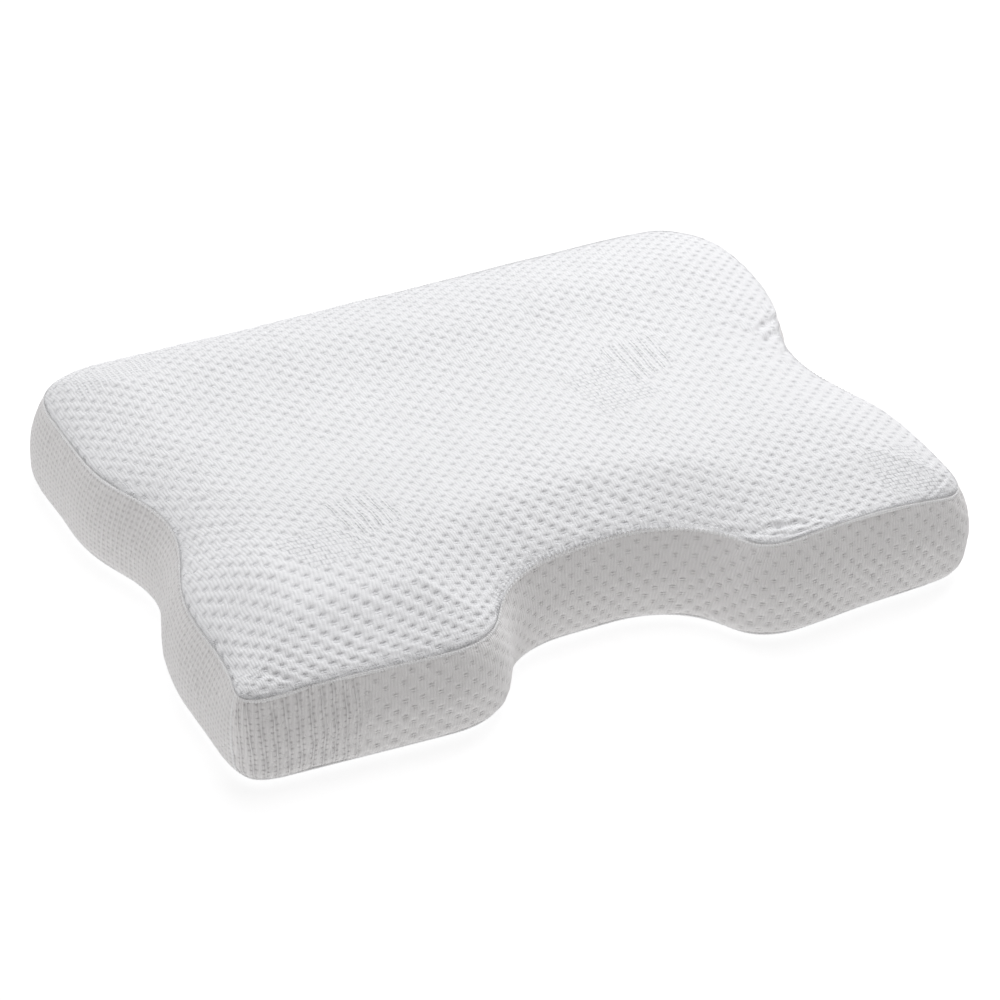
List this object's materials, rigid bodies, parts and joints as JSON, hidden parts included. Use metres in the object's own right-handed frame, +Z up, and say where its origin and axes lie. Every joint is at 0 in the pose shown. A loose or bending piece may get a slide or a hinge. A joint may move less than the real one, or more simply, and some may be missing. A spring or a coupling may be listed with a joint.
{
  "type": "contour cervical pillow",
  "caption": "Butterfly-shaped contour neck-support pillow: moulded memory-foam core in a white knitted jacquard cover with a shoulder cut-out, waisted sides and a zip along the back edge",
  "frame": {"origin": "under the middle of the pillow's bounding box, on the surface it lies on", "axes": "+Z up through the pillow's thickness, +X along the long side from the left wing to the right wing, +Y from the shoulder cut-out to the straight back edge with the zip"},
  "size_m": [0.6008, 0.4294, 0.103],
  "materials": {
    "memory_foam": "open-cell viscoelastic polyurethane foam with a fine moulded skin",
    "liner_jersey": "thin plain cotton jersey",
    "top_knit": "quilted double-knit jacquard with staggered dimples, off-white",
    "bottom_knit": "the same double knit, plain dimples",
    "border_knit": "the same double knit, turned upright",
    "seam_welt": "folded seam allowance with a row of lockstitches",
    "zip_tape": "woven polyester zip tape",
    "zip_coil": "nylon coil",
    "zip_stop": "pressed aluminium stop",
    "zip_slider": "white enamelled zinc"
  },
  "bodies": {
    "pillow": {"foam_core": "memory_foam", "inner_liner_top": "liner_jersey", "inner_liner_bottom": "liner_jersey", "top_panel": "top_knit", "bottom_panel": "bottom_knit", "wraparound_border": "border_knit", "left_border": "border_knit", "back_border_upper": "border_knit", "back_border_lower": "border_knit", "top_seam_welt": "seam_welt", "bottom_seam_welt": "seam_welt", "corner_seam": "seam_welt", "zipper_end_seams": "seam_welt", "zipper_tape_upper": "zip_tape", "zipper_tape_lower": "zip_tape", "zipper_coil_upper": "zip_coil", "zipper_coil_lower": "zip_coil", "zipper_top_stops": "zip_stop", "zipper_bottom_stop": "zip_stop"},
    "slider": {"zipper_slider": "zip_slider"},
    "pull": {"zipper_pull": "zip_slider"}
  },
  "joints": [
    {"name": "zipper_slide", "type": "slide", "parent": "pillow", "child": "slider", "axis": [-1, 0, 0], "range_m": [0, 0.364]},
    {"name": "pull_tab_hinge", "type": "hinge", "parent": "slider", "child": "pull", "pos_m": [0.182, 0.2139, 0.04], "axis": [0, 0, -1], "range_deg": [0, 180]}
  ]
}
